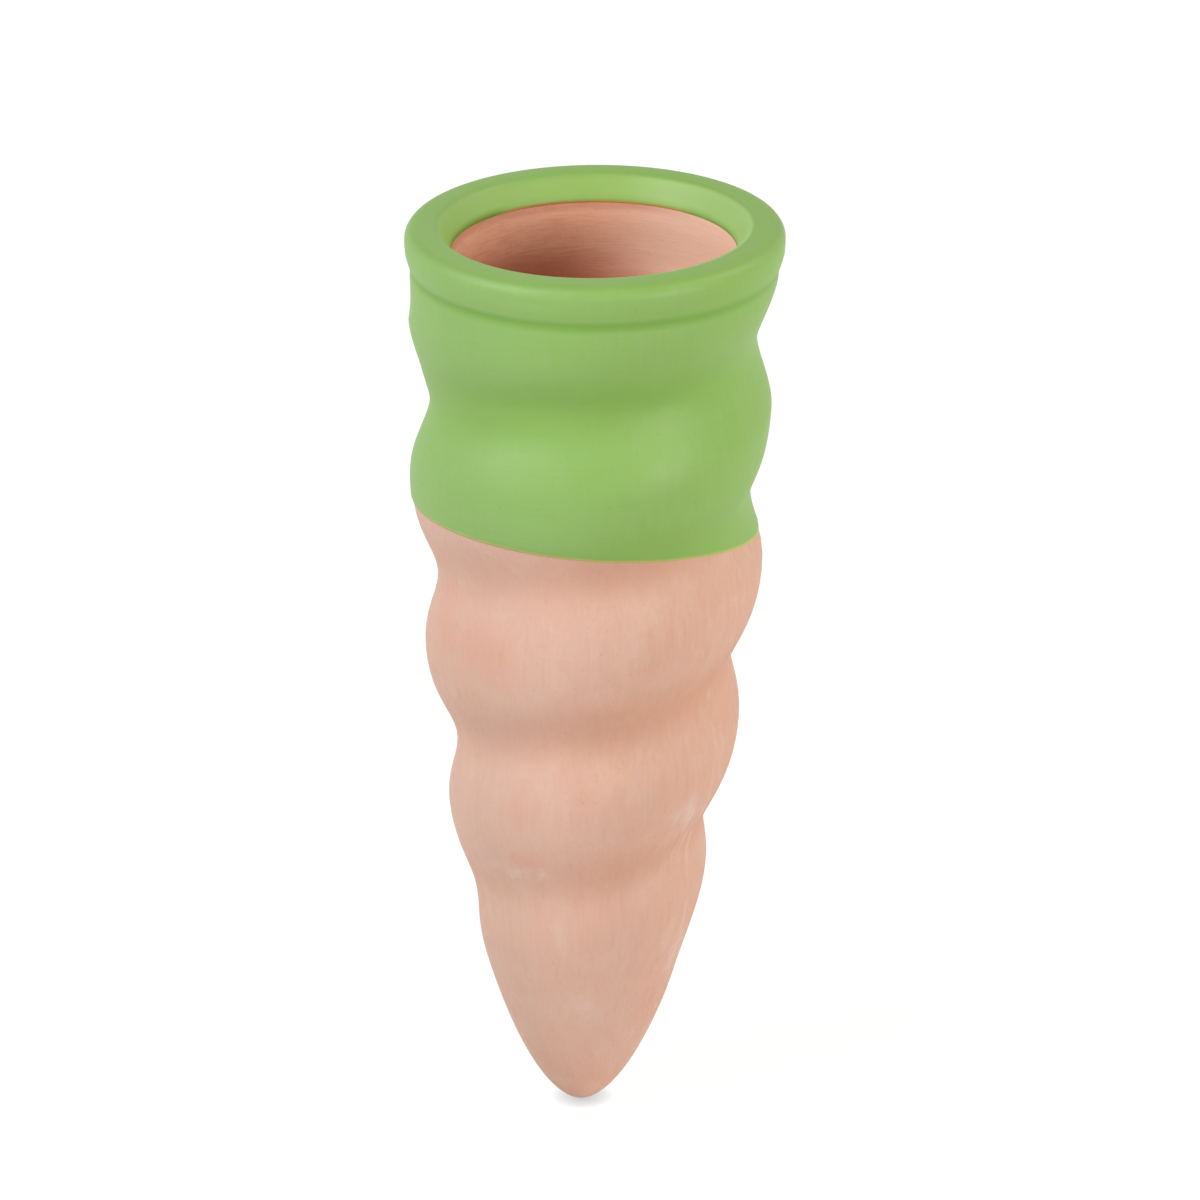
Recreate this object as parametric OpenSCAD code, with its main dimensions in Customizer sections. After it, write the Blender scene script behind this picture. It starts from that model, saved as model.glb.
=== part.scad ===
// Self watering spike: a hollow cone of unglazed clay with a spiral groove and a rolled rim.
// It is pushed into the soil and takes a bottle neck down in its mouth, and the water seeps
// out through its bare lower wall. A matt colour coat covers the rim and the upper body.
// The origin is on the axis, at the height of the coat's lower edge, which is the soil line.

/* [Spike] */
// Height from the tip to the top of the coated rim
spike_h = 115; // [100:1:140]
// Distance from the mouth's measured width out to the body's crests
wall_t = 4.25; // [3.8:0.05:5]
// Height over the tip at which the body reaches its full width
body_full_h = 93.5; // [70:0.5:105]
// Fullness of the body's curve: 1 is a straight cone, more is rounder
body_fullness = 1.7; // [1.2:0.05:2.2]
// Roundness of the tip: 0.5 is round, 1 is sharp
tip_roundness = 0.555; // [0.5:0.005:0.8]
// Sideways lean of the tip, to the left in the front view
tip_lean = 2.3; // [0:0.1:4]
// Sideways bow of the body under the rim, to the left in the front view
bow = 0.65; // [0:0.05:0.8]
// Height over the tip where that bow is greatest
bow_h = 94; // [86:1:96]
// How far the bow reaches up and down from there
bow_reach_h = 8; // [4:0.5:9]

/* [Rim] */
// How far the coated rim stands out over the body's crests
rim_overhang = 0.75; // [0.5:0.05:3]
// Height of the rim over the crease at its foot
rim_h = 4.8; // [4:0.1:7]
// Depth of that crease
crease_depth = 0.2; // [0.05:0.05:0.5]
// Radius of the rim's outer edge
rim_edge_r = 1.4; // [1:0.1:2]
// Diameter of the mouth, measured in its tapered lip
mouth_d = 35; // [30:0.5:35.5]
// Depth of the lower end of the straight neck hole under the top of the clay
mouth_depth = 15; // [10:0.5:16]
// Depth of the tapered lip above the neck hole
lip_depth = 3.5; // [3.4:0.1:4.5]
// How much the lip narrows the mouth's radius on its way down
lip_taper = 1.8; // [1:0.05:2]
// Radius of the lip's rounded upper edge
lip_edge_r = 1; // [0.5:0.1:1.2]

/* [Groove] */
// Rise of the groove in one turn
groove_pitch = 21.4; // [16:0.2:28]
// Depth of the groove where it is deepest
groove_depth = 2.4; // [1:0.05:2.8]
// Depth of its last turn, under the rim
top_groove_depth = 2.9; // [1:0.05:3.2]
// Height over the tip where the groove starts to change into that last turn
top_groove_h = 84; // [80:1:90]
// Height over which it changes
top_change_h = 14; // [8:1:20]
// Narrowness of the groove: a higher number widens the crests
groove_narrowness = 1; // [0.7:0.05:1.6]
// Narrowness of its last turn
top_groove_narrowness = 0.55; // [0.5:0.05:1.6]
// Height over the tip at which the groove passes the left side for the last time
groove_pass_h = 92.6; // [84:0.2:98]
// Height over the tip where the groove begins
groove_start_h = 13.5; // [6:0.5:20]
// Height over which the groove grows to its full depth
groove_growth_h = 34; // [20:1:50]
// Height over which the groove runs out under the rim
groove_runout_h = 12; // [6:0.5:16]

/* [Cavity] */
// How much narrower the cavity's radius is than the neck hole's
cavity_step = 0.2; // [0.2:0.1:3]
// Height over the tip of the cavity's pointed floor
cavity_floor_h = 6; // [4:0.5:12]
// Depth of the ridge that the groove raises inside the cavity
ridge_depth = 1.8; // [0:0.1:2]

/* [Coat] */
// Thickness of the colour coat
coat_t = 0.2; // [0.1:0.05:0.3]
// Thickness of the coat at its two edges
coat_edge_t = 0.08; // [0.05:0.01:0.1]
// Height over the tip of the coat's lower edge, on the axis
coat_edge_h = 78; // [70:0.5:86]
// Drop of that edge from the axis to its lowest place on the body
coat_edge_drop = 3.4; // [0:0.1:5]
// Direction of that lowest place, counted from the right side of the front view
coat_drop_turn = 42; // [-180:1:180]
// Depth of the coat's upper edge inside the lip
coat_lip_depth = 3.2; // [1.8:0.1:3.3]

/* [Hidden] */

// Number of facets round the body
body_facets = 52;
// Number of facets round the smaller cavity
cavity_facets = 36;
// Finer rings of facets on the tip
tip_rings = 8;
// All rings of facets from the tip to the coat's edge
bare_rings = 41;
// Rings of facets from the coat's edge to the rim
coated_rings = 14;
// Finer rings of facets on the cavity's pointed floor
floor_rings = 6;
// All rings of facets in the cavity
cavity_rings = 28;
// Part of the bare height that the finer rings at the tip take
tip_share = 0.09;
// Part of the cavity's height that its finer rings take
floor_share = 0.06;
// Steps of each rounded corner of the rim
corner_steps = 4;
// How far cuts run on past the surface that they open
overrun = 1;
// Angle by which the groove's lower flank is steeper than its upper flank
groove_skew = 18;
// Part of the lip's taper that lies below the place where the mouth is measured
gauge_share = 0.4;

mouth_r = mouth_d / 2;
body_r = mouth_r + wall_t;
bore_r = mouth_r - gauge_share * lip_taper;
cavity_r = bore_r - cavity_step;
clay_top_h = spike_h - coat_t;
clay_rim_r = body_r + rim_overhang - coat_t;
crease_h = spike_h - rim_h;
crease_r = body_r - crease_depth;
body_top_h = crease_h - crease_depth;
bulge_h = clay_top_h - rim_edge_r - crease_h;
lip_turn = atan(lip_taper / lip_depth);
lip_edge_x = bore_r + lip_taper + lip_edge_r * tan(45 - lip_turn / 2);
mouth_floor_h = clay_top_h - mouth_depth;

// A soft step from 0 to 1
function soft_step(t) = let (c = min(max(t, 0), 1)) c * c * (3 - 2 * c);

// The rounded cone, from a point at floor_h to its full radius at full_h
function cone_radius(h, full_r, floor_h, full_h) =
    let (part = min(max((h - floor_h) / (full_h - floor_h), 0), 1))
    full_r * pow(1 - pow(1 - part, body_fullness), tip_roundness);

// How much of its depth the groove has at a height: none at the tip and from end_h up
function groove_strength(h, end_h) =
    soft_step((h - groove_start_h) / groove_growth_h)
    * soft_step((end_h - h) / groove_runout_h);

// A value that changes into its own size for the last turn under the rim
function towards_top(h, low, top) =
    low + (top - low) * soft_step((h - top_groove_h) / top_change_h);

// The groove's section along the wall: 1 in the valley, 0 on the crest
function groove_section(h, angle) =
    let (phase = 360 * (groove_pass_h - h) / groove_pitch + angle - 180)
    let (skewed = phase + groove_skew * sin(phase))
    pow((1 + cos(skewed)) / 2, towards_top(h, groove_narrowness, top_groove_narrowness));

function outer_radius(h, angle) =
    cone_radius(h, body_r, 0, body_full_h)
    - towards_top(h, groove_depth, top_groove_depth)
        * groove_strength(h, body_top_h) * groove_section(h, angle);

function inner_radius(h, angle) =
    cone_radius(h, cavity_r, cavity_floor_h, body_full_h)
    - ridge_depth * groove_strength(h, mouth_floor_h) * groove_section(h, angle);

// The axis leans from the crease down to the tip, and bows a little under the rim
function lean_at(h) =
    h > body_top_h ? 0
    : -tip_lean * (1 - h / body_top_h) - bow * bow_share(h);

// The bow falls off on both sides of its height and is gone at the rim
function bow_share(h) =
    exp(-pow((h - bow_h) / bow_reach_h, 2)) * soft_step((body_top_h - h) / bow_reach_h);

// The cavity follows the body's lean and comes back to the middle at the neck hole
function cavity_lean_at(h) =
    lean_at(h) * soft_step((mouth_floor_h - h) / groove_runout_h);

function place(radius, h, angle, lean) =
    [lean + radius * cos(angle), radius * sin(angle), h - coat_edge_h];

// The coat's lower edge is level with a tilted dipping bath
function edge_height(angle) = coat_edge_h - coat_edge_drop * cos(angle - coat_drop_turn);

// Heights of the rings: fine on the tip, then even up to the coat's edge and to the crease
function bare_share(ring) =
    ring < tip_rings
        ? tip_share * pow(ring / tip_rings, 2)
        : tip_share + (1 - tip_share) * (ring - tip_rings) / (bare_rings - tip_rings);

function ring_height(ring, angle) =
    ring <= bare_rings
        ? edge_height(angle) * bare_share(ring)
        : edge_height(angle)
            + (body_top_h - edge_height(angle)) * (ring - bare_rings) / coated_rings;

function cavity_share(ring) =
    ring < floor_rings
        ? floor_share * pow(ring / floor_rings, 2)
        : floor_share + (1 - floor_share) * (ring - floor_rings) / (cavity_rings - floor_rings);

// Radius of the clay lip at a depth under the top of the clay
function lip_radius(depth) =
    bore_r + lip_taper * max(lip_depth - depth, 0) / lip_depth;

// A rounded corner as [radius, height] pairs, without its first point
function corner(x, h, across, along, from, to) = [
    for (i = [1:corner_steps])
        let (angle = from + (to - from) * i / corner_steps)
        [x + across * cos(angle), h + along * sin(angle)]
];

// The rim's outside from the crease to its top, under a coat of thickness t
function rim_outside(t) = concat(
    [[crease_r + t, crease_h]],
    corner(crease_r + t, crease_h + bulge_h, clay_rim_r - crease_r, bulge_h, -90, 0),
    corner(clay_rim_r - rim_edge_r, clay_top_h - rim_edge_r, rim_edge_r + t, rim_edge_r + t, 0, 90)
);

// The lip's edge and taper down to the coat's end, under a coat of thickness t and end_t
function lip_inside(t, end_t) = concat(
    [[lip_edge_x, clay_top_h + t]],
    corner(lip_edge_x, clay_top_h - lip_edge_r, lip_edge_r + t, lip_edge_r + t, 90, 180 - lip_turn),
    [[lip_radius(coat_lip_depth) - end_t, clay_top_h - coat_lip_depth]]
);

// Points of the body's rings under a coat of thickness t, and end_t at its lower edge
function body_points(from_ring, t, end_t) = [
    for (ring = [from_ring:bare_rings + coated_rings], k = [0:body_facets - 1])
        let (angle = 360 * k / body_facets, h = ring_height(ring, angle))
        place(outer_radius(h, angle) + (ring == bare_rings ? end_t : t), h, angle, lean_at(h))
];

// Points of level rings about the axis, from [radius, height] pairs
function turned_points(outline) = [
    for (pair = outline, k = [0:body_facets - 1])
        place(pair[0], pair[1], 360 * k / body_facets, 0)
];

function reversed(list) = [for (i = [len(list) - 1:-1:0]) list[i]];

// Two triangles for each step of a ring, their shared edge climbing with the groove
function wall_faces(rings, facets, first) = [
    for (ring = [0:rings - 2], k = [0:facets - 1])
        let (a = first + ring * facets + k, b = first + ring * facets + (k + 1) % facets)
        each [[a, a + facets, b + facets], [a, b + facets, b]]
];

// A fan of triangles from the point at the tip to the first ring
function tip_faces(facets) = [for (k = [0:facets - 1]) [0, 1 + k, 1 + (k + 1) % facets]];

// The top of a blank, one flat face
function lid_face(facets, first) = [for (k = [facets - 1:-1:0]) first + k];

// A band of triangles that joins the first rings of an outer and an inner wall
function edge_faces(facets, outer, inner) = [
    for (k = [0:facets - 1])
        let (next = (k + 1) % facets)
        each [[outer + k, outer + next, inner + next], [outer + k, inner + next, inner + k]]
];

function turned_over(faces) = [for (face = faces) [face[2], face[1], face[0]]];

// A solid from a point at the tip through its rings to a flat lid
module blank(tip, ring_points, facets) {
    rings = len(ring_points) / facets;
    faces = concat(
        tip_faces(facets),
        wall_faces(rings, facets, 1),
        [lid_face(facets, 1 + (rings - 1) * facets)]
    );
    polyhedron(concat([tip], ring_points), faces);
}

// The grooved cone and its rolled rim, still solid
module spike_blank() {
    ring_points = concat(body_points(1, 0, 0), turned_points(rim_outside(0)));
    blank(place(0, 0, 0, lean_at(0)), ring_points, body_facets);
}

// The space that holds the water, up into the neck hole
module cavity() {
    height = mouth_floor_h + overrun - cavity_floor_h;
    ring_points = [
        for (ring = [1:cavity_rings], k = [0:cavity_facets - 1])
            let (angle = 360 * k / cavity_facets)
            let (h = cavity_floor_h + height * cavity_share(ring))
            place(inner_radius(h, angle), h, angle, cavity_lean_at(h))
    ];
    tip = place(0, cavity_floor_h, 0, cavity_lean_at(cavity_floor_h));
    blank(tip, ring_points, cavity_facets);
}

// The straight neck hole with its tapered and rounded lip
module mouth() {
    lip_corner = [
        for (pair = lip_inside(0, 0)) if (pair[1] > clay_top_h - lip_edge_r) pair
    ];
    translate([0, 0, -coat_edge_h])
        rotate_extrude($fn = body_facets)
            polygon(concat(
                [[0, mouth_floor_h], [bore_r, mouth_floor_h], [bore_r, clay_top_h - lip_depth]],
                reversed(lip_corner),
                [[lip_edge_x, clay_top_h + overrun], [0, clay_top_h + overrun]]
            ));
}

module clay_spike() {
    color("#dda98c")
        difference() {
            spike_blank();
            cavity();
            mouth();
        }
}

// A skin from its tilted edge on the body over the rim to its edge inside the lip
module colour_coat() {
    outer = concat(
        body_points(bare_rings, coat_t, coat_edge_t),
        turned_points(rim_outside(coat_t)),
        turned_points(lip_inside(coat_t, coat_edge_t))
    );
    inner = concat(
        body_points(bare_rings, 0, 0),
        turned_points(rim_outside(0)),
        turned_points(lip_inside(0, 0))
    );
    count = len(outer);
    rings = count / body_facets;
    last = count - body_facets;
    faces = concat(
        wall_faces(rings, body_facets, 0),
        turned_over(wall_faces(rings, body_facets, count)),
        edge_faces(body_facets, 0, count),
        turned_over(edge_faces(body_facets, last, count + last))
    );
    color("#98bf72")
        polyhedron(concat(outer, inner), faces);
}

clay_spike();
colour_coat();
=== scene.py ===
import math

import bpy
import numpy as np
from mathutils import Matrix, Vector


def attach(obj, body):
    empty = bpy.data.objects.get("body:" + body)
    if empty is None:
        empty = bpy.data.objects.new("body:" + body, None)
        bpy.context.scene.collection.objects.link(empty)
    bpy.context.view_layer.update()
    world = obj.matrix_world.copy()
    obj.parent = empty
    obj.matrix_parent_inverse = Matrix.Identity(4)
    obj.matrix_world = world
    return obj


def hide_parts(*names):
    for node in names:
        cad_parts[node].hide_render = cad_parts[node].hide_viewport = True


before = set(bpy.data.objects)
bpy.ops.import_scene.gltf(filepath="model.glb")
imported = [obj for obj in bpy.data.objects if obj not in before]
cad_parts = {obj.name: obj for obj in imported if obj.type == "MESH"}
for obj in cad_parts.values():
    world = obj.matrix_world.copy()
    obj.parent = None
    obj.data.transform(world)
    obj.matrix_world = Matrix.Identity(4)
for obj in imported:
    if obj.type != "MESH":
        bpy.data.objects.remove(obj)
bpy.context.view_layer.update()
print("frame loaded:", ", ".join(sorted(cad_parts)))

mm = 0.001  # the scene is in metres, the sizes below in millimetres
near = 0.001  # points closer than this, in millimetres, count as being in one place


def deselectAll():
    if bpy.context.mode != "OBJECT":
        bpy.ops.object.mode_set(mode="OBJECT")
    bpy.ops.object.select_all(action="DESELECT")


def pick(piece):
    deselectAll()
    piece.select_set(True)
    bpy.context.view_layer.objects.active = piece


def readPoints(piece):
    points = np.empty(len(piece.data.vertices) * 3)
    piece.data.vertices.foreach_get("co", points)
    return points.reshape(-1, 3)


def writePoints(piece, points):
    piece.data.vertices.foreach_set("co", points.ravel())
    piece.data.update()


def selectVertices(piece, chosen):
    # goes on to edit mode with only these vertices selected
    pick(piece)
    mesh = piece.data
    mesh.vertices.foreach_set("select", chosen)
    ends = np.empty(len(mesh.edges) * 2, int)
    mesh.edges.foreach_get("vertices", ends)
    mesh.edges.foreach_set("select", chosen[ends.reshape(-1, 2)].all(axis=1))
    mesh.polygons.foreach_set("select", np.array([chosen[list(f.vertices)].all() for f in mesh.polygons]))
    bpy.ops.object.mode_set(mode="EDIT")


# The clay's form. Heights are counted up from the tip.
clay = {
    "around": 192,
    "soilHeight": 78,
    "bodyRadius": 21.75,
    "bodyTop": 110.0,
    "fullHeight": 93.5,
    "fullness": 1.7,
    "tipRoundness": 0.555,
    "tipLean": 2.3,
    "bow": 0.65,
    "bowHeight": 94,
    "bowReach": 8,
    "bodyRows": 210,
    "tipCrowding": 0.3,  # spacing of the rows at the tip, as a part of the even spacing
    "creaseHeight": 110.2,
    "creaseRadius": 21.55,
    "rimRadius": 22.3,
    "topHeight": 114.8,
    "rimEdge": 1.4,
    "lipEdge": 1.0,
    "lipTaper": 1.8,
    "lipDepth": 3.5,
    "coatLipDepth": 3.2,
    "flatRow": 0.8,
    "lipRows": (1.0, 1.6, 2.2, 2.8),
    "neckRadius": 16.78,
    "neckRows": (108.5, 105),
    "neckFloor": 99.8,
    "cavityTop": 99.75,
    "cavityRadius": 16.58,
    "cavityFloor": 6,
    "cavityRows": 150,
    "wallLeast": 3.0,
}

groove = {
    "pitch": 21.4,
    "passHeight": 92.6,  # where it passes the left side for the last time
    "depth": 2.4,
    "topDepth": 2.9,
    "narrowness": 1.0,
    "topNarrowness": 0.55,
    "topFrom": 84,
    "topChange": 14,
    "start": 13.5,
    "growth": 34,
    "runout": 12,
    "skew": math.radians(18),
    "ridge": 1.8,  # what it raises inside the cavity
    "shadeRise": 2.0,  # how far over its middle its painted shade lies
    # Places on the wall that go in further than an even groove: height, turn, reach and depth
    "presses": [
        (106.0, 0, 3.4, 0.42),
        (99.5, math.pi, 4.5, 0.2),
        (93.3, math.pi, 2.4, 0.4),
        (77.6, 0, 2.8, 0.5),
    ],
    "pressFocus": 4,  # the higher, the less of the round it takes in
}


def softStep(t):
    t = np.clip(t, 0, 1)
    return t * t * (3 - 2 * t)


def coneRadius(h, fullRadius, floor):
    part = np.clip((h - floor) / (clay["fullHeight"] - floor), 0, 1)
    return fullRadius * (1 - (1 - part) ** clay["fullness"]) ** clay["tipRoundness"]


def towardsTop(h, low, top):
    return low + (top - low) * softStep((h - groove["topFrom"]) / groove["topChange"])


def grooveStrength(h, end):
    return softStep((h - groove["start"]) / groove["growth"]) * softStep((end - h) / groove["runout"])


def grooveSection(h, angle):
    phase = 2 * math.pi * (groove["passHeight"] - h) / groove["pitch"] + angle - math.pi
    phase = phase + groove["skew"] * np.sin(phase)
    return ((1 + np.cos(phase)) / 2) ** towardsTop(h, groove["narrowness"], groove["topNarrowness"])


def pressedIn(h, angle):
    depth = 0
    for height, turn, reach, most in groove["presses"]:
        facing = np.clip(np.cos(angle - turn), 0, 1) ** groove["pressFocus"]
        depth = depth + most * facing * np.exp(-(((h - height) / reach) ** 2))
    return depth


def outerRadius(h, angle):
    depth = towardsTop(h, groove["depth"], groove["topDepth"]) * grooveStrength(h, clay["bodyTop"])
    return coneRadius(h, clay["bodyRadius"], 0) - depth * grooveSection(h, angle) - pressedIn(h, angle)


def innerRadius(h, angle):
    depth = groove["ridge"] * grooveStrength(h, clay["neckFloor"])
    return coneRadius(h, clay["cavityRadius"], clay["cavityFloor"]) - depth * grooveSection(h, angle)


def leanAt(h):
    bow = np.exp(-(((h - clay["bowHeight"]) / clay["bowReach"]) ** 2))
    bow = bow * softStep((clay["bodyTop"] - h) / clay["bowReach"])
    lean = -clay["tipLean"] * (1 - h / clay["bodyTop"]) - clay["bow"] * bow
    return np.where(h > clay["bodyTop"], 0, lean)


def cavityLeanAt(h):
    # the cavity comes back to the middle at the neck hole
    return leanAt(h) * softStep((clay["neckFloor"] - h) / groove["runout"])


def placeOn(radius, h, angle, lean=leanAt):
    x = lean(h) + radius * np.cos(angle)
    return np.stack([x, radius * np.sin(angle), h - clay["soilHeight"]], axis=1) * mm


def toHeight(h):
    return (h - clay["soilHeight"]) * mm


def ringPoints(piece, radius, low, high):
    # which vertices stand at one radius between two heights
    place = readPoints(piece) / mm
    height = place[:, 2] + clay["soilHeight"]
    atRadius = np.abs(np.hypot(place[:, 0], place[:, 1]) - radius) < near
    return atRadius & (height > low - near) & (height < high + near)


# The clay starts as a plain open tube, as tall as the body
deselectAll()
bpy.ops.mesh.primitive_cylinder_add(
    vertices=clay["around"],
    radius=clay["bodyRadius"] * mm,
    depth=clay["bodyTop"] * mm,
    end_fill_type="NOTHING",
    location=(0, 0, toHeight(clay["bodyTop"] / 2)),
)
clayBody = bpy.context.object
clayBody.name = "clayBody"
bpy.ops.object.transform_apply(location=True)


def selectRing(piece, h):
    # the open ring of vertices at one height
    z = readPoints(piece)[:, 2] / mm
    selectVertices(piece, np.abs(z + clay["soilHeight"] - h) < near)


def extrudeRing(fromRadius, fromHeight, toRadius, toRingHeight):
    # the selected ring goes on to the next radius and height
    bpy.ops.mesh.extrude_region_move(TRANSFORM_OT_translate={"value": (0, 0, (toRingHeight - fromHeight) * mm)})
    factor = toRadius / fromRadius
    bpy.ops.transform.resize(value=(factor, factor, 1), center_override=(0, 0, toHeight(toRingHeight)))


def arc(x, z, across, up, start, stop, steps):
    turns = [math.radians(start + (stop - start) * i / steps) for i in range(1, steps + 1)]
    return [(x + across * math.cos(t), z + up * math.sin(t)) for t in turns]


# The rolled rim and the lip, ring by ring over the wall's top
edge = clay["rimEdge"]
lip = clay["lipEdge"]
bulge = clay["topHeight"] - edge - clay["creaseHeight"]
lipTurn = math.atan(clay["lipTaper"] / clay["lipDepth"])
lipRadius = clay["neckRadius"] + clay["lipTaper"] + lip * math.tan((math.pi / 2 - lipTurn) / 2)
rimRings = [(clay["creaseRadius"], clay["creaseHeight"])]
overhang = clay["rimRadius"] - clay["creaseRadius"]
rimRings += arc(clay["creaseRadius"], clay["creaseHeight"] + bulge, overhang, bulge, -90, 0, 10)
rimRings += arc(clay["rimRadius"] - edge, clay["topHeight"] - edge, edge, edge, 0, 90, 9)
rimRings += [(lipRadius + clay["flatRow"], clay["topHeight"]), (lipRadius, clay["topHeight"])]
rimRings += arc(lipRadius, clay["topHeight"] - lip, lip, lip, 90, 180 - math.degrees(lipTurn), 8)
coatEnd = clay["topHeight"] - clay["coatLipDepth"]
for depth in (*clay["lipRows"], clay["coatLipDepth"]):
    taper = clay["lipTaper"] * (1 - depth / clay["lipDepth"])
    rimRings.append((clay["neckRadius"] + taper, clay["topHeight"] - depth))

selectRing(clayBody, clay["bodyTop"])
here = (clay["bodyRadius"], clay["bodyTop"])
for ring in rimRings:
    extrudeRing(*here, *ring)
    here = ring
bpy.ops.object.mode_set(mode="OBJECT")
print("rim:", len(rimRings), "rings")

# The coat starts as a copy of the wall and rim made so far
pick(clayBody)
bpy.ops.object.duplicate()
greenCoat = bpy.context.object
greenCoat.name = "greenCoat"

# Down through the straight neck hole, and in one long step to the cavity's floor
selectRing(clayBody, coatEnd)
neckHeights = (clay["topHeight"] - clay["lipDepth"], *clay["neckRows"], clay["neckFloor"])
mouthRings = [(clay["neckRadius"], h) for h in neckHeights]
mouthRings += [(clay["cavityRadius"], clay["cavityTop"]), (clay["cavityRadius"], clay["cavityFloor"])]
for ring in mouthRings:
    extrudeRing(*here, *ring)
    here = ring
bpy.ops.object.mode_set(mode="OBJECT")


def crowded(share, angle, low, high):
    # rows that stand closer at the low end
    return low + (high - low) * (clay["tipCrowding"] * share + (1 - clay["tipCrowding"]) * share**2)


# The coat's lower edge is level with a tilted dipping bath
coat = {
    "thickness": 0.2,
    "edgeThickness": 0.04,
    "edgeSoftness": 0.7,  # over which it thins out at its lower edge
    "edgeRing": 0.01,
    "drop": 3.4,
    "dropTurn": math.radians(42),
    "dropRadius": 21.5,
    "rows": 84,
    "creaseFill": 1.4,
    "creaseFrom": 21,
    "creaseRounds": 14,
}
slope = coat["drop"] / coat["dropRadius"]
bathX = slope * math.cos(coat["dropTurn"])
bathY = slope * math.sin(coat["dropTurn"])


def fromBath(share, angle, low, high):
    # rows from the bath's level on the grooved wall up to the rim
    level = np.full_like(share, clay["soilHeight"])
    for again in range(6):
        place = placeOn(outerRadius(level, angle), level, angle) / mm
        level = clay["soilHeight"] - bathX * place[:, 0] - bathY * place[:, 1]
    return level + (high - level) * share


def cutRows(piece, radius, low, high, rows, form, spacing, lean=leanAt):
    # a straight wall is cut into rows, which then take their form
    pick(piece)
    inWall = ringPoints(piece, radius, low, high)
    mesh = piece.data
    ends = np.empty(len(mesh.edges) * 2, int)
    mesh.edges.foreach_get("vertices", ends)
    ends = ends.reshape(-1, 2)
    z = readPoints(piece)[:, 2]
    upright = inWall[ends].all(axis=1) & (np.abs(z[ends[:, 0]] - z[ends[:, 1]]) > mm)
    mesh.vertices.foreach_set("select", np.zeros(len(mesh.vertices), bool))
    mesh.polygons.foreach_set("select", np.zeros(len(mesh.polygons), bool))
    mesh.edges.foreach_set("select", upright)
    bpy.context.tool_settings.mesh_select_mode = (False, True, False)
    bpy.ops.object.mode_set(mode="EDIT")
    bpy.ops.mesh.subdivide(number_cuts=rows - 1)
    bpy.ops.object.mode_set(mode="OBJECT")
    bpy.context.tool_settings.mesh_select_mode = (True, False, False)
    inWall = ringPoints(piece, radius, low, high)
    points = readPoints(piece)
    wall = points[inWall]
    angle = np.arctan2(wall[:, 1], wall[:, 0])
    share = np.clip((wall[:, 2] / mm + clay["soilHeight"] - low) / (high - low), 0, 1)
    h = spacing(share, angle, low, high)
    points[inWall] = placeOn(form(h, angle), h, angle, lean)
    writePoints(piece, points)


# The cavity first, so that no point of the grooved wall is taken for one of its own
floorHeight, ceiling = clay["cavityFloor"], clay["cavityTop"]
cutRows(clayBody, clay["cavityRadius"], floorHeight, ceiling, clay["cavityRows"], innerRadius, crowded, cavityLeanAt)
cutRows(clayBody, clay["bodyRadius"], 0, clay["bodyTop"], clay["bodyRows"], outerRadius, crowded)
cutRows(greenCoat, clay["bodyRadius"], 0, clay["bodyTop"], coat["rows"], outerRadius, fromBath)
print("grooved wall and cavity:", len(clayBody.data.vertices), "points")

# The mouth was finished by hand, so its upper edge is a little off the middle
mouthShift = {"x": -0.15, "y": 0.4, "from": 20.6, "to": 19.0, "fadeFrom": 107.0, "fadeTo": 113.5}
for piece in (clayBody, greenCoat):
    points = readPoints(piece) / mm
    across = np.hypot(points[:, 0], points[:, 1])
    nearLip = softStep((mouthShift["from"] - across) / (mouthShift["from"] - mouthShift["to"]))
    upper = points[:, 2] + clay["soilHeight"] - mouthShift["fadeFrom"]
    nearLip *= softStep(upper / (mouthShift["fadeTo"] - mouthShift["fadeFrom"]))
    points[:, 0] += mouthShift["x"] * nearLip
    points[:, 1] += mouthShift["y"] * nearLip
    writePoints(piece, points * mm)


def closeSeams(piece):
    # poles and doubles are merged, and the faces turned outwards
    pick(piece)
    bpy.ops.object.mode_set(mode="EDIT")
    bpy.ops.mesh.select_all(action="SELECT")
    bpy.ops.mesh.remove_doubles(threshold=near * mm)
    bpy.ops.mesh.normals_make_consistent(inside=False)
    bpy.ops.object.mode_set(mode="OBJECT")
    bpy.ops.object.shade_smooth()


closeSeams(clayBody)

# The coat is the outer skin of its copy of the wall, thinned out towards its two edges
closeSeams(greenCoat)
points = readPoints(greenCoat) / mm
fromCrease = np.abs(points[:, 2] + clay["soilHeight"] - clay["creaseHeight"])
outer = np.hypot(points[:, 0], points[:, 1]) > coat["creaseFrom"]
selectVertices(greenCoat, (fromCrease < coat["creaseFill"]) & outer)
bpy.ops.mesh.vertices_smooth(factor=0.5, repeat=coat["creaseRounds"])  # the slip runs together in the crease
bpy.ops.object.mode_set(mode="OBJECT")
points = readPoints(greenCoat) / mm
overBath = points[:, 2] + bathX * points[:, 0] + bathY * points[:, 1]
thin = coat["edgeThickness"] / coat["thickness"]
weights = thin + (1 - thin) * softStep(overBath / coat["edgeSoftness"])
inLip = np.hypot(points[:, 0], points[:, 1]) < lipRadius
atEdge = inLip & (np.abs(points[:, 2] + clay["soilHeight"] - coatEnd) < coat["edgeRing"])
weights = np.where(atEdge, thin, weights)
body = greenCoat.vertex_groups.new(name="body")
for index, weight in enumerate(weights):
    body.add([index], float(weight), "REPLACE")
skin = greenCoat.modifiers.new("skin", "SOLIDIFY")
skin.thickness = coat["thickness"] * mm
skin.offset = 1
skin.use_even_offset = True
skin.use_rim = True
skin.vertex_group = "body"
bpy.ops.object.modifier_apply(modifier="skin")
greenCoat.vertex_groups.clear()
bpy.ops.object.shade_smooth()
print("coat:", len(greenCoat.data.polygons), "faces")


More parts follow.
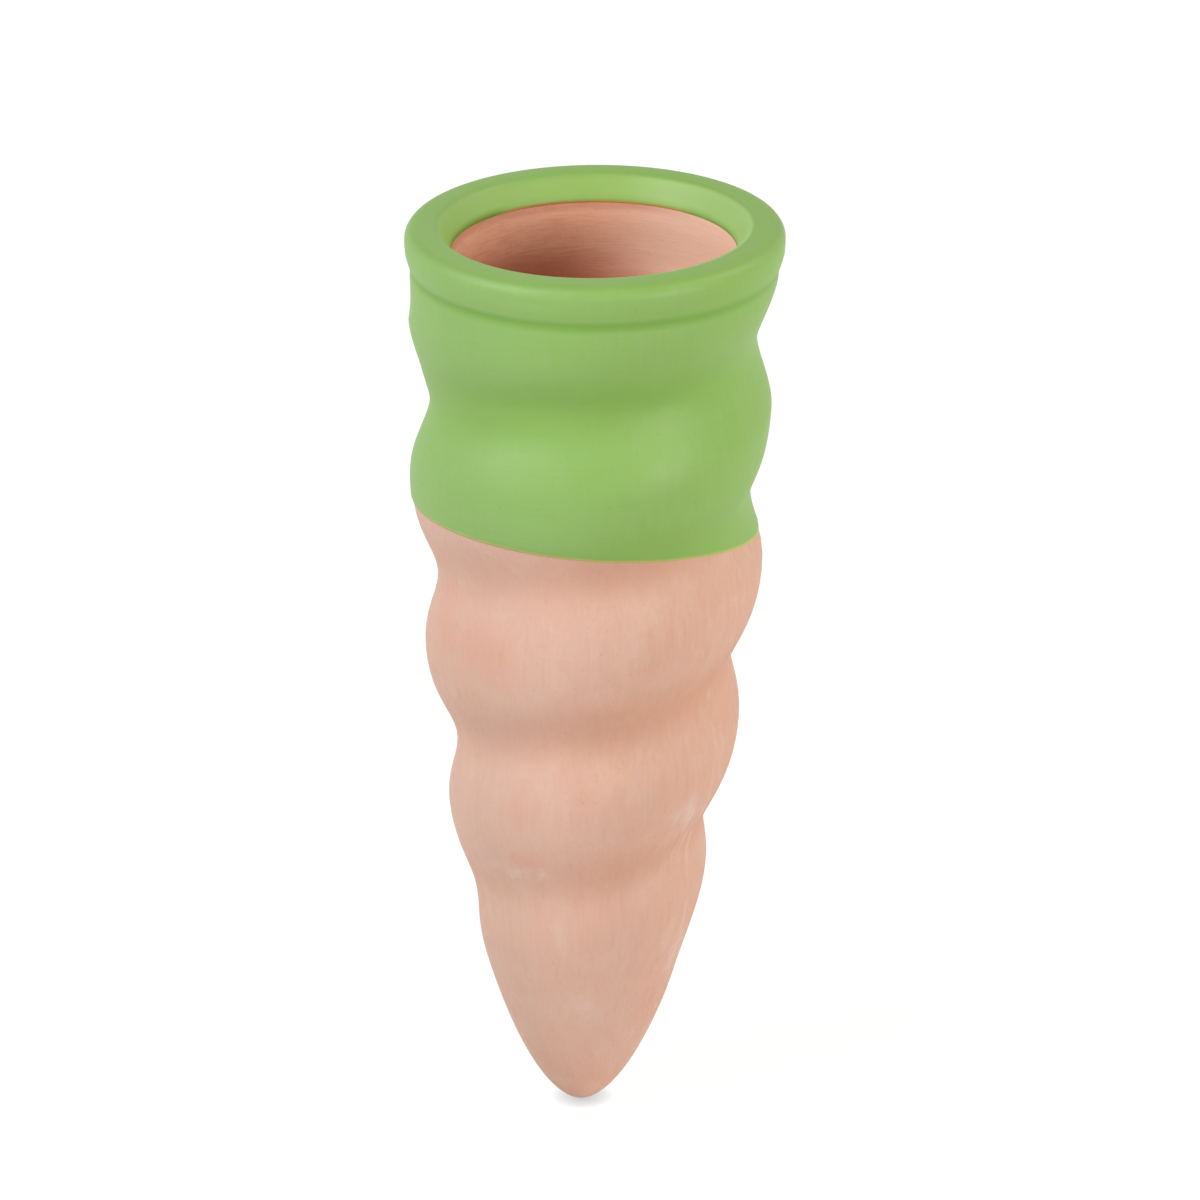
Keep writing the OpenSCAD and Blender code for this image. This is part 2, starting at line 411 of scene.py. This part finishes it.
class Wire:
    # a socket that takes part in expressions: each operator adds its Math node
    def __init__(self, bench, socket):
        self.bench = bench
        self.socket = socket

    def joined(self, operation, first, second):
        return self.bench.node("ShaderNodeMath", {"operation": operation}, {0: first, 1: second})

    def __add__(self, other):
        return self.joined("ADD", self, other)

    def __radd__(self, other):
        return self.joined("ADD", other, self)

    def __sub__(self, other):
        return self.joined("SUBTRACT", self, other)

    def __rsub__(self, other):
        return self.joined("SUBTRACT", other, self)

    def __mul__(self, other):
        return self.joined("MULTIPLY", self, other)

    def __rmul__(self, other):
        return self.joined("MULTIPLY", other, self)

    def __pow__(self, other):
        return self.joined("POWER", self, other)


class Bench:
    # the nodes of one material or world
    def __init__(self, owner):
        self.owner = owner
        owner.use_nodes = True
        self.tree = owner.node_tree
        self.tree.nodes.clear()

    def node(self, kind, settings=None, sockets=None, output=0):
        made = self.tree.nodes.new(kind)
        for name, value in (settings or {}).items():
            setattr(made, name, value)
        for name, value in (sockets or {}).items():
            if isinstance(value, Wire):
                self.tree.links.new(value.socket, made.inputs[name])
            else:
                made.inputs[name].default_value = value
        return Wire(self, made.outputs[output]) if len(made.outputs) else made

    def finish(self, shader, kind="ShaderNodeOutputMaterial"):
        self.node(kind, {}, {0: shader})
        return self.owner

    def vector(self, operation, first, second, output=0):
        return self.node("ShaderNodeVectorMath", {"operation": operation}, {0: first, 1: second}, output)

    def inMillimetres(self):
        place = self.node("ShaderNodeTexCoord", output="Object")
        return self.vector("MULTIPLY", place, (1000, 1000, 1000))

    def part(self, place, axis):
        return self.node("ShaderNodeSeparateXYZ", {}, {0: place}, axis)

    def step(self, value, low, high):
        # 0 below low, 1 above high, soft between them; the other way round if low is the higher
        if low > high:
            return 1 - self.step(value, high, low)
        settings = {"interpolation_type": "SMOOTHSTEP"}
        return self.node("ShaderNodeMapRange", settings, {"Value": value, "From Min": low, "From Max": high})

    def band(self, value, middle, halfWidth):
        # 1 on a line, 0 from the half width on
        away = self.node("ShaderNodeMath", {"operation": "ABSOLUTE"}, {0: value - middle})
        return self.step(away, halfWidth, 0)

    def mix(self, factor, first, second):
        return self.node("ShaderNodeMix", {"data_type": "RGBA"}, {0: factor, 6: first, 7: second}, 2)

    def layered(self, colour, look, layers):
        # each layer is where it lies, how strong it is and the name of its colour
        for mask, strength, name in layers:
            colour = self.mix(mask * strength, colour, look[name])
        return colour

    def pattern(self, name):
        # a measure that the mesh carries for each of its points
        return self.node("ShaderNodeAttribute", {"attribute_name": name}, {}, "Fac")

    def noise(self, place, scale, stretch=(1, 1, 1), detail=2.0, roughness=0.5, shift=0.0, output=0):
        # scale is in waves per millimetre
        corner = (shift, shift * 0.7, shift * 1.3)
        sockets = {"Vector": place, "Location": corner, "Scale": [scale * s for s in stretch]}
        moved = self.node("ShaderNodeMapping", {}, sockets)
        sockets = {"Vector": moved, "Scale": 1.0, "Detail": detail, "Roughness": roughness}
        return self.node("ShaderNodeTexNoise", {}, sockets, output)

    def warped(self, place, scale, reach, shift):
        # the same place, pushed about so that edges come out uneven
        push = self.noise(place, scale, detail=3.0, roughness=0.6, shift=shift, output="Color")
        push = self.vector("SUBTRACT", push, (0.5, 0.5, 0.5))
        return self.vector("ADD", place, self.vector("MULTIPLY", push, (reach, reach, reach)))

    def spot(self, place, centre, size):
        # 1 in the middle, 0 from the given half widths on
        away = self.vector("DIVIDE", self.vector("SUBTRACT", place, centre), size)
        return self.step(self.vector("LENGTH", away, away, "Value"), 1.0, 0.2)


def srgb(red, green, blue):
    # a colour as seen on screen, as a linear one
    def linear(c):
        c = c / 255
        return c / 12.92 if c <= 0.04045 else ((c + 0.055) / 1.055) ** 2.4

    return (linear(red), linear(green), linear(blue), 1)


def makeTerracotta():
    look = {
        "base": srgb(210, 163, 138),
        "bloomAndSheen": srgb(213, 178, 162),  # lime that the clay sweats out as it dries, and a painted sheen on the left side
        "warm": srgb(207, 148, 114),
        "cream": srgb(218, 184, 160),
        "pink": srgb(214, 156, 138),
        "grooveShadeAndStreak": srgb(202, 142, 112),  # painted shade in the groove, and darker fine streaks
        # painted light: the mouth's lining is lighter and redder than the outside
        "inside": srgb(238, 172, 140),
        # painted light on the mouth's right wall, where the key light reaches in
        "insideLit": srgb(240, 196, 172),
        "deep": srgb(184, 100, 66),  # painted shade further down in the mouth, more on its left
        "smudge": srgb(214, 142, 112),
        "scrape": srgb(226, 200, 188),
        "speck": srgb(176, 118, 92),
        "darkerRed": srgb(184, 108, 78),  # darker and redder, under the coat's edge in the mouth and in turning marks on its left
        "roughness": 0.6,
        "sheen": 0.3,
        "polish": 0.14,
        "smudges": [  # middle, half widths and strength
            ((-13.9, -15.2, -11.7), (9.0, 9.0, 5.5), 0.24),
            ((-8.8, -14.3, -38.9), (3.5, 3.5, 2.0), 0.3),
            ((-19.5, -9.0, -9.0), (5.0, 5.0, 10.0), 0.25),
            ((6.0, 17.0, -24.0), (9.0, 7.0, 4.5), 0.25),
        ],
        "scrapes": [
            ((10.2, -11.0, -36.5), (6.0, 6.0, 8.0), 0.65),
            ((-9.0, -13.0, -41.2), (6.0, 6.0, 1.8), 0.5),
            ((-1.2, -11.0, -60.5), (3.5, 3.5, 3.0), 0.4),
            ((9.0, -6.0, -54.0), (4.0, 5.0, 7.0), 0.4),
            ((-14.0, 9.0, -20.0), (5.0, 5.0, 5.0), 0.5),
        ],
        "strokeTurn": math.radians(-24),
        "seamTurn": math.radians(-34),
        "seamReach": 0.75,
        "darkLineReach": 1.3,
        "relief": 0.4,
        "reliefHeight": 0.00012,
    }
    patterns = {
        "cloudy": {"scale": 0.06, "detail": 3.0},
        "patchy": {"scale": 0.09, "shift": 31.0},
        # upright marks of wiping, broad and fine
        "wiped": {"scale": 1.0, "stretch": (1, 1, 0.07), "detail": 3.0, "roughness": 0.6, "shift": 5.0},
        "fine": {"scale": 2.6, "stretch": (1, 1, 0.1), "roughness": 0.6, "shift": 91.0},
        # level marks of turning, outside and in the mouth
        "ribs": {"scale": 2.8, "stretch": (0.1, 0.1, 1), "roughness": 0.6, "shift": 97.0},
        "turned": {"scale": 3.2, "stretch": (0.1, 0.1, 1), "detail": 3.0, "roughness": 0.65, "shift": 11.0},
        "grain": {"scale": 5.5, "detail": 4.0, "roughness": 0.7, "shift": 9.0},
        "grog": {"scale": 2.6, "detail": 1.0, "shift": 53.0},
        "broken": {"scale": 0.16, "shift": 41.0},
    }
    unevenPatterns = {
        "cream": {"scale": 0.3, "stretch": (1, 1, 0.6), "detail": 3.0, "roughness": 0.6, "shift": 71.0},
        "pink": {"scale": 0.24, "stretch": (1, 1, 0.5), "detail": 3.0, "roughness": 0.6, "shift": 83.0},
    }
    b = Bench(bpy.data.materials.new("terracotta"))
    place = b.inMillimetres()
    x, y, z = (b.part(place, axis) for axis in range(3))
    inside = b.pattern("inside")
    outside = 1 - inside
    shade = b.step(b.pattern("hollow"), 0.3, 1.0) * outside
    uneven = b.warped(place, 0.5, 3.0, 17.0)
    cloudy, patchy, wiped, fine, ribs, turned, grain, grog, broken = (b.noise(place, **p) for p in patterns.values())
    cream, pink = (b.noise(uneven, **p) for p in unevenPatterns.values())

    colour = b.layered(look["base"], look, [
        # painted sheen: the left side is paler where the key light falls
        (b.step(x + (cloudy - 0.5) * 26, 13, -15), 0.62, "bloomAndSheen"),
        (b.step(patchy, 0.45, 0.75), 0.3, "warm"),
        (b.step(wiped, 0.35, 0.75), 0.3, "bloomAndSheen"),
        (b.step(wiped, 0.5, 0.2), 0.2, "warm"),
        (b.step(fine, 0.48, 0.68), 0.12, "cream"),
        (b.step(fine, 0.5, 0.32), 0.1, "grooveShadeAndStreak"),
        (b.step(ribs, 0.5, 0.68) * outside, 0.12, "pink"),
        (b.step(cream, 0.5, 0.68), 0.32, "cream"),
        (b.step(pink, 0.5, 0.7), 0.15, "pink"),
        # painted shade in the groove, deeper on the right
        (shade * (0.18 + 0.34 * b.step(x, -12, 4)), 1.0, "grooveShadeAndStreak"),
    ])
    for centre, size, strength in look["smudges"]:
        colour = b.mix(b.spot(uneven, centre, size) * strength * outside, colour, look["smudge"])

    # pale strokes where the dry clay was scraped
    slanted = b.node("ShaderNodeMapping", {}, {"Vector": place, "Rotation": (0, look["strokeTurn"], 0)})
    strokes = b.step(b.noise(slanted, 0.55, (1, 1, 0.3), 3.0, 0.6, 23.0), 0.38, 0.72)
    for centre, size, strength in look["scrapes"]:
        colour = b.mix(b.spot(uneven, centre, size) * strokes * strength * outside, colour, look["scrape"])

    # the mould's parting line, wiped down until it shows only here and there
    acrossSeam = x * math.sin(look["seamTurn"]) - y * math.cos(look["seamTurn"])
    left = b.step(broken, 0.5, 0.68)
    seam = b.band(acrossSeam + (wiped - 0.5) * 0.8, 0, look["seamReach"]) * left * outside

    # the mouth and cavity are redder, with level turning marks, and end in a dark line under the coat; painted light
    # makes the lining lighter, most on its right wall, and painted shade darkens it further down
    coatLine = coatEnd - clay["soilHeight"]
    specks = b.step(grog, 0.68, 0.76)
    colour = b.layered(colour, look, [
        (seam, 0.3, "scrape"),
        (inside, 0.8, "inside"),
        # painted light on the right wall of the mouth
        (inside * b.step(x, -3, 10), 0.85, "insideLit"),
        # painted shade deeper in the mouth and towards its left
        (inside * b.step(z + x * 0.2, 28.5, 22.5), 0.85, "deep"),
        (inside * b.step(turned, 0.42, 0.66) * b.step(x, 14, -6), 0.24, "darkerRed"),
        (inside * b.step(z, coatLine - look["darkLineReach"], coatLine) * b.step(x, 14, 4), 0.6, "darkerRed"),
        (specks, 0.16, "speck"),
        (b.step(grain, 0.35, 0.7), 0.12, "bloomAndSheen"),
    ])

    height = grain * 0.6 + (wiped * 0.45 + fine * 0.2) * outside + turned * 0.9 * inside
    height = height + seam * 0.4 - specks * 0.6
    sockets = {"Strength": look["relief"], "Distance": look["reliefHeight"], "Height": height}
    bump = b.node("ShaderNodeBump", {}, sockets)
    rough = look["roughness"] + (grain - 0.5) * look["polish"] - seam * 0.05
    sockets = {"Base Color": colour, "Roughness": rough, "Normal": bump, "Specular IOR Level": look["sheen"]}
    return b.finish(b.node("ShaderNodeBsdfPrincipled", {}, sockets))


def makeEngobe():
    look = {
        "base": srgb(134, 171, 84),
        "pale": srgb(141, 178, 107),
        # a deeper green: a tone at random, and painted shade in the groove and on the rim's top
        "deep": srgb(124, 164, 66),
        "creaseShade": srgb(112, 156, 56),  # painted shade in the crease
        "wiped": srgb(156, 194, 98),  # paler in the mouth, as painted light on the band inside the lip
        # painted light on the mouth's right side
        "mouthLit": srgb(160, 198, 122),
        "lipShade": srgb(118, 160, 54),  # painted shade along the lip's lower edge at the mouth's sides
        "thin": srgb(208, 192, 112),  # where the clay shines through at the lower edge
        "lipThin": srgb(216, 166, 84),  # and at the edge in the mouth
        "speck": srgb(108, 148, 66),
        "roughness": 0.5,
        "sheen": 0.35,
        "polish": 0.12,
        "lowerEdge": 0.5,
        "lipEdge": 0.5,
        "lipShadeRise": 0.25,
        "lipShadeReach": 0.75,
        "creaseReach": 1.1,
        "creaseDrop": 0.1,
        "relief": 0.22,
        "reliefHeight": 0.0001,
    }
    patterns = {
        "cloudy": {"scale": 0.07},
        "brushed": {"scale": 1.1, "stretch": (1, 1, 0.08), "shift": 7.0},  # upright runs of the dip
        "level": {"scale": 1.7, "stretch": (0.06, 0.06, 1), "shift": 19.0},
        "grain": {"scale": 5.0, "detail": 3.0, "roughness": 0.6, "shift": 2.0},
        "dots": {"scale": 2.2, "detail": 1.0, "shift": 61.0},
    }
    b = Bench(bpy.data.materials.new("green engobe"))
    place = b.inMillimetres()
    x, y, z = (b.part(place, axis) for axis in range(3))
    cloudy, brushed, level, grain, dots = (b.noise(place, **p) for p in patterns.values())
    ring = (x * x + y * y) ** 0.5
    rimTop = clay["topHeight"] - clay["soilHeight"]
    coatLine = coatEnd - clay["soilHeight"]
    creaseLine = clay["creaseHeight"] - clay["soilHeight"] - look["creaseDrop"]

    # the coat runs out thin at its lower edge and at its edge in the mouth
    overBath = z + x * bathX + y * bathY
    atFoot = b.step(overBath + (brushed - 0.5) * 0.25, look["lowerEdge"], 0.02)
    inMouth = b.step(ring, 18.9, 18.3) * b.step(z, 30, 31)
    atLip = b.band(z, coatLine, look["lipEdge"]) * inMouth
    atSides = b.step(x * x, 90, 150)
    lipShadeBand = b.band(z, coatLine + look["lipShadeRise"], look["lipShadeReach"]) * inMouth
    inCrease = b.band(z, creaseLine, look["creaseReach"]) * b.step(ring, 20.5, 21.2)
    colour = b.layered(look["base"], look, [
        # painted sheen: the coat's left side is paler where the key light falls
        (b.step(x + (cloudy - 0.5) * 30, 12, -16), 0.45, "pale"),
        (b.step(brushed, 0.4, 0.75), 0.25, "pale"),
        (b.step(level, 0.5, 0.2), 0.2, "deep"),
        (b.step(grain, 0.55, 0.25), 0.15, "deep"),
        (b.step(dots, 0.7, 0.78), 0.3, "speck"),
        # painted shade in the groove
        (b.step(b.pattern("hollow"), 0.3, 1.0), 0.5, "deep"),
        # painted shade on the rim's flat top
        (b.step(z, rimTop - 0.3, rimTop), 0.4, "deep"),
        # painted light on the band inside the lip
        (inMouth, 0.7, "wiped"),
        # painted light on the right of the band inside the lip
        (inMouth * b.step(x, 2, 16), 0.7, "mouthLit"),
        (inCrease, 0.75, "creaseShade"),
        (atFoot, 0.8, "thin"),
        # painted shade at the lip's lower edge, stronger on the left
        (lipShadeBand * atSides * (0.4 + 0.5 * b.step(x, 8, -8)), 1.0, "lipShade"),
        (atLip * (1 - atSides), 0.9, "lipThin"),
    ])

    height = grain * 0.4 + brushed * 0.35 + level * 0.2
    sockets = {"Strength": look["relief"], "Distance": look["reliefHeight"], "Height": height}
    bump = b.node("ShaderNodeBump", {}, sockets)
    rough = look["roughness"] + (grain - 0.5) * look["polish"] + (atFoot + atLip) * 0.1
    sockets = {"Base Color": colour, "Roughness": rough, "Normal": bump, "Specular IOR Level": look["sheen"]}
    return b.finish(b.node("ShaderNodeBsdfPrincipled", {}, sockets))


# Which points line the mouth and the cavity, for the clay's colour
points = readPoints(clayBody) / mm
heights = points[:, 2] + clay["soilHeight"]
across = points[:, 0] - leanAt(heights)
wallFace = np.hypot(across, points[:, 1]) - outerRadius(heights, np.arctan2(points[:, 1], across))
lining = (wallFace < -clay["wallLeast"] / 2) & (heights < coatEnd + coat["edgeRing"])
insideLayer = clayBody.data.attributes.new("inside", "FLOAT", "POINT")
insideLayer.data.foreach_set("value", lining.astype(float))

# How deep each point lies in the groove, for the shade of both colours
for piece in (clayBody, greenCoat):
    points = readPoints(piece) / mm
    heights = points[:, 2] + clay["soilHeight"]
    turns = np.arctan2(points[:, 1], points[:, 0] - leanAt(heights))
    hollow = grooveSection(heights - groove["shadeRise"], turns)
    hollow = hollow * grooveStrength(heights, clay["bodyTop"])
    hollowLayer = piece.data.attributes.new("hollow", "FLOAT", "POINT")
    hollowLayer.data.foreach_set("value", hollow)

clayBody.data.materials.clear()
clayBody.data.materials.append(makeTerracotta())
greenCoat.data.materials.clear()
greenCoat.data.materials.append(makeEngobe())
print("materials made")

for piece, node, slot in ((clayBody, "clay_spike", "bare_clay"), (greenCoat, "colour_coat", "green_coat")):
    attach(piece, "root")
    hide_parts(node)

# The floor under the tip: white to the camera, with the spike's soft shadow
room = {
    "floorSize": 3.0,
    "floorGlow": 0.92,
    "floorShade": 0.15,
    "floorPale": 0.8,  # for the light that it throws back
    "ambient": 0.12,
    "contact": 0.45,  # how dark the floor is right under the tip
    "contactReach": 0.0018,
}


def seenDirectly(b):
    # 1 for what the camera sees itself, or in a gloss or through a glass
    names = ("Is Camera Ray", "Is Glossy Ray", "Is Transmission Ray")
    seen, glossy, through = (b.node("ShaderNodeLightPath", output=name) for name in names)
    return b.node("ShaderNodeClamp", {}, {0: seen + glossy + through})


def makeFloor():
    b = Bench(bpy.data.materials.new("studio floor"))
    shade = b.node("ShaderNodeBsdfDiffuse", {}, {0: (room["floorShade"],) * 3 + (1,)})
    openness = b.node("ShaderNodeAmbientOcclusion", {"samples": 16}, {"Distance": room["contactReach"]}, "AO")
    colour = b.mix(room["contact"] * (1 - openness), (1, 1, 1, 1), (0, 0, 0, 1))
    glow = b.node("ShaderNodeEmission", {}, {0: colour, 1: room["floorGlow"]})
    lit = b.node("ShaderNodeAddShader", {}, {0: shade, 1: glow})
    plain = b.node("ShaderNodeBsdfDiffuse", {}, {0: (room["floorPale"],) * 3 + (1,)})
    return b.finish(b.node("ShaderNodeMixShader", {}, {0: seenDirectly(b), 1: plain, 2: lit}))


deselectAll()
bpy.ops.mesh.primitive_plane_add(size=room["floorSize"], location=(0, 0, toHeight(0)))
floor = bpy.context.object
floor.name = "floor"
bpy.ops.object.transform_apply(location=True)
floor.data.materials.append(makeFloor())

b = Bench(bpy.data.worlds.new("studio"))
dim = b.node("ShaderNodeBackground", {}, {0: (1, 1, 1, 1), 1: room["ambient"]})
white = b.node("ShaderNodeBackground", {}, {0: (1, 1, 1, 1), 1: 1.0})
sky = b.node("ShaderNodeMixShader", {}, {0: seenDirectly(b), 1: dim, 2: white})
bpy.context.scene.world = b.finish(sky, "ShaderNodeOutputWorld")

# Softboxes: turn is counted from the camera's side to the right, both angles in degrees
lamps = {
    "key": {"turn": -62, "rise": 38, "distance": 0.9, "size": 0.6, "power": 7.2, "colour": (0.98, 1.0, 1.02)},
    "fill": {"turn": 44, "rise": 10, "distance": 0.9, "size": 0.4, "power": 4.2, "colour": (1.0, 1.0, 1.0)},
    "edge": {"turn": 102, "rise": 38, "distance": 0.9, "size": 0.5, "power": 2.8, "colour": (1.03, 1.0, 0.96)},
    "back": {"turn": 180, "rise": 6, "distance": 0.9, "size": 0.5, "power": 1.2, "colour": (1.0, 1.0, 1.0)},
}


def addLamp(name, lamp):
    turn, rise = math.radians(lamp["turn"]), math.radians(lamp["rise"])
    way = Vector((math.sin(turn) * math.cos(rise), -math.cos(turn) * math.cos(rise), math.sin(rise)))
    deselectAll()
    bpy.ops.object.light_add(type="AREA", location=way * lamp["distance"])
    made = bpy.context.object
    made.name = name
    made.rotation_euler = way.to_track_quat("Z", "Y").to_euler()
    made.data.shape = "DISK"
    made.data.size = lamp["size"]
    made.data.energy = lamp["power"]
    made.data.color = lamp["colour"]


for name, lamp in lamps.items():
    addLamp(name, lamp)
bpy.data.objects["back"].visible_glossy = False  # this one only lifts the shade behind
print("studio lit")

# The camera stands 0.8 m off, a little above the spike
view = {
    "distance": 0.805,
    "rise": math.radians(22.88),
    "target": (0.00037, 0, -0.01109),
    "roll": math.radians(-0.309),
    "lens": 200.26,
}
deselectAll()
rise = view["rise"]
back = Vector((0, -math.cos(rise), math.sin(rise)))
bpy.ops.object.camera_add(location=Vector(view["target"]) + back * view["distance"])
camera = bpy.context.object
camera.name = "camera"
right = Vector((1, 0, 0))
up = back.cross(right)
rightTurned = right * math.cos(view["roll"]) + up * math.sin(view["roll"])
upTurned = up * math.cos(view["roll"]) - right * math.sin(view["roll"])
camera.rotation_euler = Matrix((rightTurned, upTurned, back)).transposed().to_euler()
camera.data.lens = view["lens"]
camera.data.sensor_width = 36
camera.data.clip_start = 0.01
bpy.context.scene.camera = camera
bpy.context.scene.view_settings.view_transform = "Standard"

deselectAll()
bpy.context.view_layer.update()
